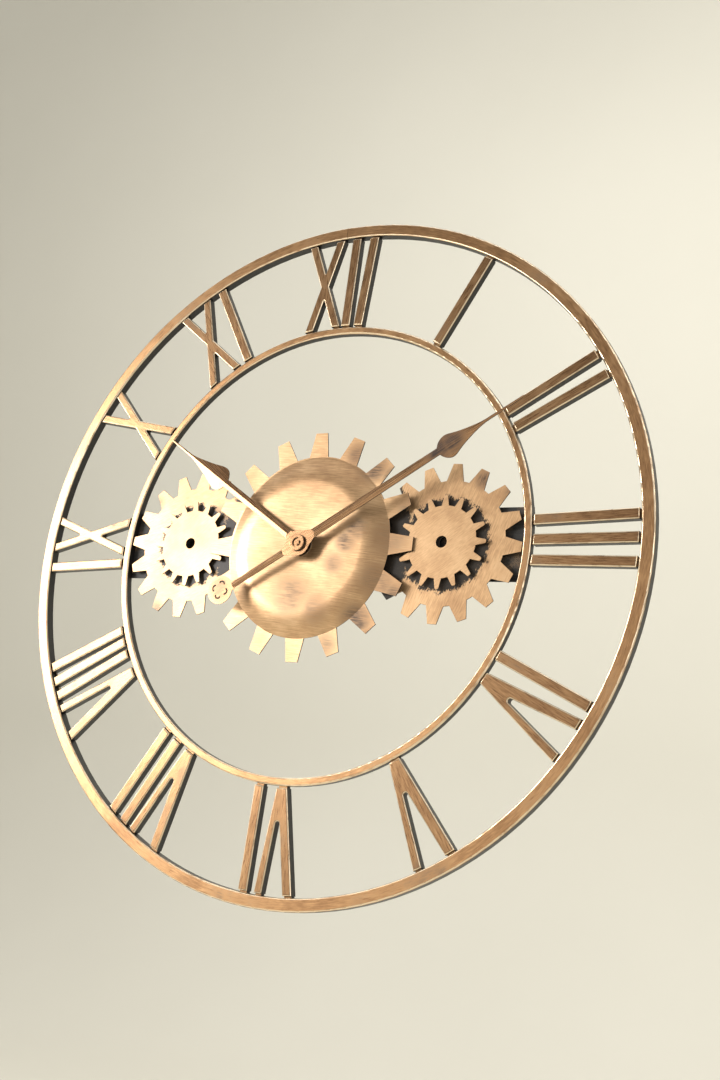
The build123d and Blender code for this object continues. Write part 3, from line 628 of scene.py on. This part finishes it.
def camera():
    turn, climb, lean = (math.radians(a) for a in (CAMERA_TURN, CAMERA_CLIMB, CAMERA_LEAN))
    ahead = Vector((-math.sin(turn) * math.cos(climb), math.cos(turn) * math.cos(climb), math.sin(climb)))
    level = ahead.cross(Vector((0, 0, 1))).normalized()
    upright = level.cross(ahead)
    right = level * math.cos(lean) + upright * math.sin(lean)
    up = right.cross(ahead)
    axes = Matrix((right, up, -ahead)).transposed()
    data = bpy.data.cameras.new("camera")
    data.lens = LENS
    data.sensor_width = SENSOR
    data.clip_start = 0.01
    data.clip_end = 50.0
    obj = bpy.data.objects.new("camera", data)
    obj.matrix_world = Matrix.Translation(DIAL + Vector(CAMERA_OFFSET)) @ axes.to_4x4()
    bpy.context.scene.collection.objects.link(obj)
    bpy.context.scene.camera = obj


# Listed dark spots, each with x and z from the dial's centre, a radius and a strength
# Centre gear: partly smudges, partly painted reflection and shade from the hub and hands
CENTRE_SMUDGES_AND_SHADE = (
    (0.051, 0.012, 0.016, 0.75), (0.042, 0.000, 0.015, 0.68), (0.033, -0.018, 0.015, 0.52),
    (-0.007, -0.047, 0.030, 0.48), (0.018, -0.058, 0.022, 0.42), (0.057, 0.068, 0.020, 0.90),
    (0.040, 0.080, 0.015, 0.68), (0.076, 0.058, 0.015, 0.60), (0.083, 0.006, 0.028, 0.45),
    (0.095, 0.028, 0.016, 0.52), (0.074, -0.034, 0.024, 0.57), (0.056, -0.067, 0.022, 0.75),
    (0.069, -0.085, 0.018, 0.95), (0.092, -0.046, 0.018, 0.75), (0.030, -0.088, 0.018, 0.45),
)
LARGE_SMUDGES = (
    (0.160, 0.052, 0.012, 0.8), (0.186, 0.040, 0.012, 0.8), (0.144, 0.056, 0.008, 0.7),
    (-0.176, 0.046, 0.012, 0.6), (-0.160, -0.055, 0.012, 0.5), (-0.100, 0.030, 0.020, 0.5),
)
# Darker spots on the minute hand's spade and counterweight
HAND_DARK_SPOTS = ((0.125, 0.074, 0.020, 0.9), (0.137, 0.081, 0.018, 0.9), (-0.074, -0.041, 0.018, 0.45))


def straight(turn, fine, long):
    return lambda nodes: straight_grain(nodes, turn, fine, long)


def ring_paint(name, patches):
    return antique(
        name, lambda nodes: round_grain(nodes, DIAL, 1300.0, 160.0),
        tone=(0.98, 0.87, 0.75), rough=0.32, patches=patches, streaky=0.36,
    )


def numeral_paint():
    return antique(
        "numeral_paint", lambda nodes: spoke_grain(nodes, DIAL, 1300.0, 90.0),
        tone=(0.74, 0.65, 0.55), rough=0.30, patches=0.8,
    )


def centre_gear_paint():
    return antique(
        "centre_gear_paint", straight(-6.0, 1100.0, 60.0),
        tone=(1.14, 1.13, 1.12), rough=0.38, metal=0.85, patches=0.1, streaky=0.34,
        dark_spots=CENTRE_SMUDGES_AND_SHADE, rounded=False,
    )


def large_gear_paint(side, turn, nudge, small_reach, centre_reach):
    return antique(
        f"{side}_gear_paint", straight(turn, 900.0, 110.0),
        tone=(1.12, 1.11, 1.10), rough=0.42, metal=0.82, patches=0.2, streaky=0.28, relief=0.15,
        dark_spots=LARGE_SMUDGES, rounded=False,
        fringe=unsprayed_and_shaded(GEAR_CENTRES[side], nudge, small_reach, centre_reach),
    )


def small_gear_paint():
    return antique(
        "small_gear_paint", straight(35.0, 1100.0, 140.0),
        tone=(1.12, 1.12, 1.12), rough=0.40, metal=0.82, patches=0.05, rounded=False,
        streaky=0.20, relief=0.12,
    )


def hand_paint(name, slope, tone, dark_spots=()):
    return antique(
        name, straight(slope, 1300.0, 40.0),
        tone=tone, rough=0.27, streaky=0.3, patches=0.1, dark_spots=dark_spots, rounded=False, relief=0.08,
    )


def finishes():
    """Every finish by name: one for each slot, and three more for nodes brushed their own way."""
    return {
        "outer_ring_paint": ring_paint("outer_ring_paint", 0.7),
        "inner_ring_paint": ring_paint("inner_ring_paint", 0.6),
        "numeral_paint": numeral_paint(),
        "centre_gear_paint": centre_gear_paint(),
        "left_gear_paint": large_gear_paint("left", 20.0, (0.0022, -0.0008), 0.0385, 0.0985),
        "right_gear_paint": large_gear_paint("right", 70.0, (0.0008, -0.0012), 0.0405, 0.0980),
        "small_gear_paint": small_gear_paint(),
        "hand_paint": hand_paint("hand_paint", MINUTE_SLOPE, (0.80, 0.70, 0.62), HAND_DARK_SPOTS),
        "hour_hand_paint": hand_paint("hour_hand_paint", HOUR_SLOPE, (0.80, 0.68, 0.60)),
        "black_sheet": black_sheet(),
        "brass": turned_metal("brass", (0.80, 0.60, 0.27), (0.52, 0.36, 0.14), 0.20),
        "arbor_brass": turned_metal("arbor_brass", (0.82, 0.64, 0.32), (0.56, 0.40, 0.17), 0.18),
        "rubber": rubber(),
        "steel": plated_metal("steel", (0.60, 0.60, 0.61), (0.36, 0.36, 0.37), 0.26),
        "contact_plate": plated_metal("contact_plate", (0.78, 0.77, 0.74), (0.55, 0.54, 0.52), 0.2),
        "case_plastic": moulded_plastic("case_plastic", (0.020, 0.020, 0.021), (0.05, 0.05, 0.05), 0.42),
        "gear_plastic": moulded_plastic("gear_plastic", (0.74, 0.72, 0.66), (0.82, 0.80, 0.75), 0.36),
        "magnet": magnet(),
        "coil_copper": coil_windings(),
        "board": circuit(),
        "battery_jacket": battery_jacket(),
    }


def finish_of(node, made):
    """The finish a node wears: its slot's, or its own where brushing or bare patches differ."""
    own = {
        "left_large_gear": "left_gear_paint",
        "right_large_gear": "right_gear_paint",
        "hour_hand": "hour_hand_paint",
    }
    return made[own.get(node, SLOTS[node])]


def paint_nodes():
    made = finishes()
    for node in SLOTS:
        paint_node(node, finish_of(node, made))
    return made


def lathe(profile, centre, segments=192):
    """A closed ring of revolution about +Y. profile is (radius, y) round its section."""
    shape = bmesh.new()
    rings = []
    for radius, y in profile:
        turns = [2 * math.pi * step / segments for step in range(segments)]
        rings.append([
            shape.verts.new((centre.x + radius * math.cos(turn), y, centre.z + radius * math.sin(turn)))
            for turn in turns
        ])
    for this, ring in enumerate(rings):
        after = rings[(this + 1) % len(rings)]
        for step in range(segments):
            beside = (step + 1) % segments
            shape.faces.new((ring[step], ring[beside], after[beside], after[step]))
    bmesh.ops.recalc_face_normals(shape, faces=shape.faces)
    mesh = bpy.data.meshes.new("lathe")
    shape.to_mesh(mesh)
    shape.free()
    smooth_by_angle(mesh, 50)
    return mesh


def away(point, centre):
    """Distance from a centre in the dial's plane."""
    return math.hypot(point.x - centre.x, point.z - centre.z)


def pressed_face(made):
    """The centre gear's pressed middle: flat, then rolled over a wide soft fold into the cone."""
    points = [vertex.co for vertex in NODES["centre_gear"].data.vertices]
    front = min(point.y for point in points)
    foot_y = min(point.y for point in points if away(point, HUB) > TEETH_FROM)
    slope = (foot_y - front + DISH_LIFT) / (DISH_FOOT - DISH_FOLD)
    # From the edge of its hole the face rises gently to its full lift
    line = [(0.016, front - DISH_SKIM), (0.022, front - 0.0002), (0.032, front - 0.0007)]
    line.append((0.044, front - DISH_LIFT))
    steps = 16
    for step in range(steps + 1):
        past = 2 * DISH_SOFT * step / steps
        y = front - DISH_LIFT + slope * past * past / (4 * DISH_SOFT)
        line.append((DISH_FOLD - DISH_SOFT + past, y))
    line.append((DISH_FOOT, foot_y - DISH_SKIM))
    under = [(radius, y + DISH_THICK) for radius, y in reversed(line)]
    mesh = lathe(line + under, HUB)
    new_piece("centre_gear_face", mesh, "frame", "centre_gear_paint", made["centre_gear_paint"])


def stroke_ends(node, rim, outward):
    """Where a stroke meets a ring: the angle about the dial, half width and back of each tab."""
    near = []
    for vertex in NODES[node].data.vertices:
        if (away(vertex.co, DIAL) - rim) * outward > -WELD_REACH:
            near.append((math.atan2(vertex.co.z - DIAL.z, vertex.co.x - DIAL.x), vertex.co.y))
    if not near:
        return []
    turns = [angle for angle, _ in near]
    if max(turns) - min(turns) > math.pi:
        near = [(angle % (2 * math.pi), y) for angle, y in near]
    near.sort()
    groups = [[near[0]]]
    for item in near[1:]:
        if (item[0] - groups[-1][-1][0]) * rim > WELD_GAP:
            groups.append([])
        groups[-1].append(item)
    return [
        ((group[0][0] + group[-1][0]) / 2, (group[-1][0] - group[0][0]) / 2 * rim, max(y for _, y in group))
        for group in groups
    ]


def weld_bead(shape, draw, rim, outward, end):
    """One uneven bead at the end of a stroke."""
    angle, half, back = end
    reach = rim - WELD_INSET * outward
    x = DIAL.x + reach * math.cos(angle)
    z = DIAL.z + reach * math.sin(angle)
    place = Vector((x, min(back, WELD_BACK), z))
    half_long = max(half * draw.uniform(0.7, 0.9), 0.001)
    turn = Matrix.Rotation(-angle, 4, "Y")
    scale = Matrix.Diagonal((WELD_RADIAL, WELD_DEPTH, half_long, 1.0))
    matrix = Matrix.Translation(place) @ turn @ scale
    bead = bmesh.ops.create_icosphere(shape, subdivisions=3, radius=1.0, matrix=matrix)
    for vertex in bead["verts"]:
        vertex.co += (vertex.co - place) * draw.uniform(-0.07, 0.07)


def weld_beads(made):
    """Small uneven beads behind the tabs, where each stroke is welded to the two rings."""
    draw = random.Random(11)
    rims = (
        (min(away(vertex.co, DIAL) for vertex in NODES["outer_ring"].data.vertices), 1.0),
        (max(away(vertex.co, DIAL) for vertex in NODES["inner_ring"].data.vertices), -1.0),
    )
    shape = bmesh.new()
    for node in sorted(SLOTS):
        if not node.startswith("numeral_"):
            continue
        for rim, outward in rims:
            for end in stroke_ends(node, rim, outward):
                weld_bead(shape, draw, rim, outward, end)
    mesh = bpy.data.meshes.new("stroke_welds")
    shape.to_mesh(mesh)
    shape.free()
    smooth_by_angle(mesh, 80)
    new_piece("stroke_welds", mesh, "frame", "numeral_paint", made["numeral_paint"])


def counterweight_shade_disc(made):
    """A dark disc behind the counterweight's slots: painted shade seen through them."""
    slope = math.radians(MINUTE_SLOPE)
    along = Vector((math.cos(slope), 0.0, math.sin(slope)))
    across = Vector((math.sin(slope), 0.0, -math.cos(slope)))
    centre = HUB - along * WEIGHT_BACK - across * WEIGHT_ASIDE
    points = [vertex.co for vertex in NODES["minute_hand"].data.vertices]
    back = max(point.y for point in points if away(point, centre) < 0.009)
    centre.y = back + SHADE_DISC_THICK / 2
    place = Matrix.Translation(centre) @ Matrix.Rotation(math.radians(90), 4, "X")
    mesh = bpy.data.meshes.new("counterweight_shade_disc")
    shape = bmesh.new()
    bmesh.ops.create_cone(
        shape, cap_ends=True, segments=48, radius1=WEIGHT_SLOTS_R, radius2=WEIGHT_SLOTS_R,
        depth=SHADE_DISC_THICK, matrix=place,
    )
    shape.to_mesh(mesh)
    shape.free()
    new_piece("counterweight_shade_disc", mesh, "minute", "hand_paint", made["black_sheet"])


def finish_pieces(made):
    """Stands refined copies in for the pieces whose edges show."""
    for node in SLOTS:
        material = finish_of(node, made)
        if node.startswith("numeral_"):
            refined(node, material, 0.00018, corner=60.0)
        elif node == "centre_gear":
            refined(node, material, 0.0002)
            pressed_face(made)
        elif node.endswith("_gear") or node == "cross_strip":
            refined(node, material, 0.0002)
        elif node in ("movement_case", "movement_cover", "train_bridge", "stator"):
            refined(node, material, 0.00025)
    counterweight_shade_disc(made)
    weld_beads(made)


camera()
studio()
surround()
lights()
FINISHES = paint_nodes()
finish_pieces(FINISHES)
